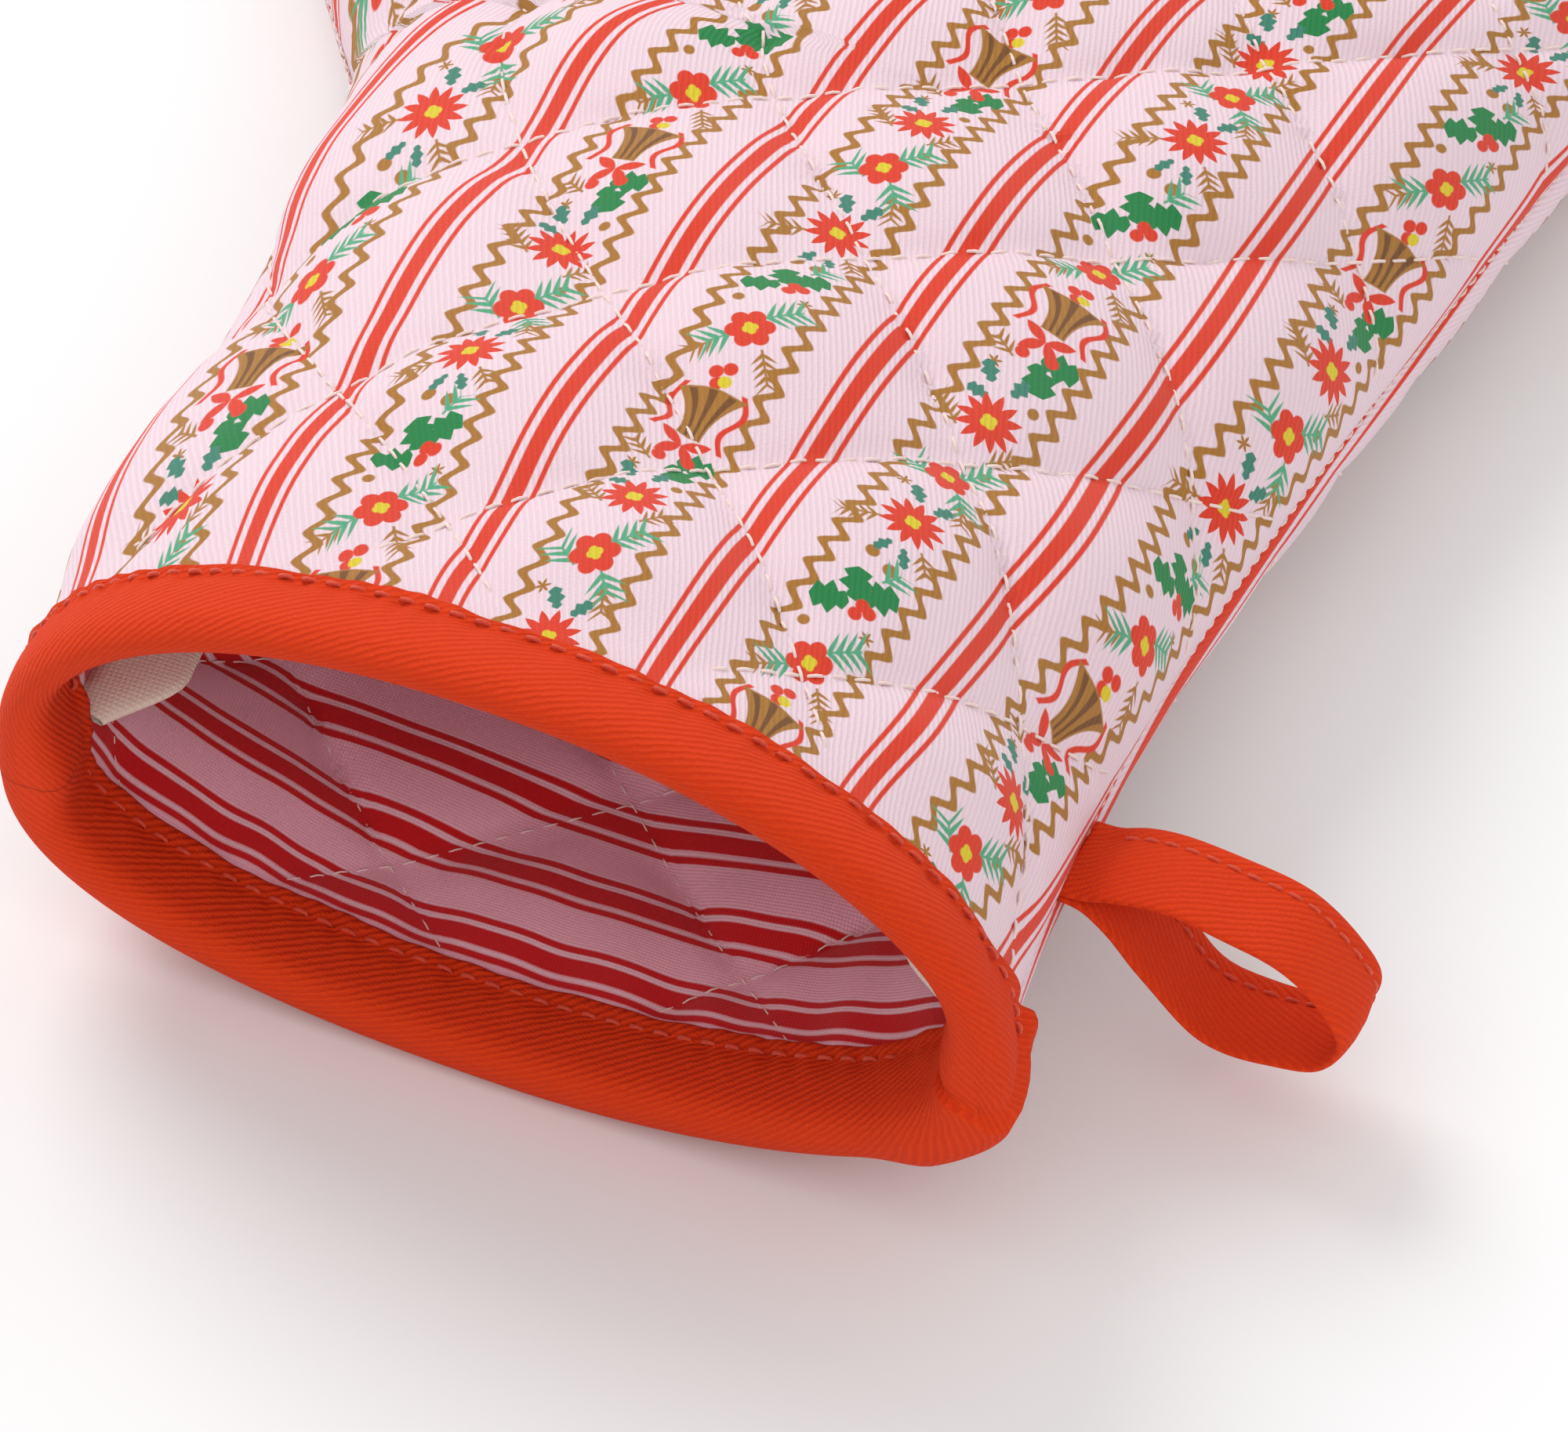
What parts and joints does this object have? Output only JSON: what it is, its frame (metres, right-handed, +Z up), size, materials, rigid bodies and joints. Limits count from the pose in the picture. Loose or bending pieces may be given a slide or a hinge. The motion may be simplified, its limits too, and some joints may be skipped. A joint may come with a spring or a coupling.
{
  "type": "oven mitt",
  "caption": "Quilted cotton oven mitt lying palm down with an open bound cuff, one thumb and a hanging loop of tape at the side seam.",
  "frame": {"origin": "on the flat underside that the mitt lies on, near the middle of the hand", "axes": "+Z up through the lying mitt, +Y from the cuff to the fingertips, +X towards the seam with the hanging loop"},
  "size_m": [0.2212, 0.3314, 0.0692],
  "materials": {
    "print_cotton": "pale pink brushed cotton twill with a printed pattern",
    "batting": "white needled cotton batting",
    "lining_cotton": "plain weave cotton with printed stripes",
    "red_twill": "orange red cotton twill tape",
    "cream_tape": "plain weave cotton tape",
    "cream_thread": "matte sewing thread",
    "red_thread": "matte sewing thread"
  },
  "bodies": {
    "mitt": {"front_outer_panel": "print_cotton", "back_outer_panel": "print_cotton", "front_batting": "batting", "back_batting": "batting", "front_lining": "lining_cotton", "back_lining": "lining_cotton", "side_seam_stitching": "cream_thread", "inner_seam_tape": "cream_tape", "cuff_binding": "red_twill", "binding_stitching": "red_thread", "front_quilting_thread": "cream_thread", "back_quilting_thread": "cream_thread"},
    "loop": {"hanging_loop": "red_twill", "loop_edge_stitching": "red_thread"}
  },
  "joints": [
    {"name": "loop_swing", "type": "hinge", "parent": "mitt", "child": "loop", "pos_m": [0.0582, -0.1252, 0.0264], "axis": [0, -1, 0], "range_deg": [-24, 60]}
  ]
}
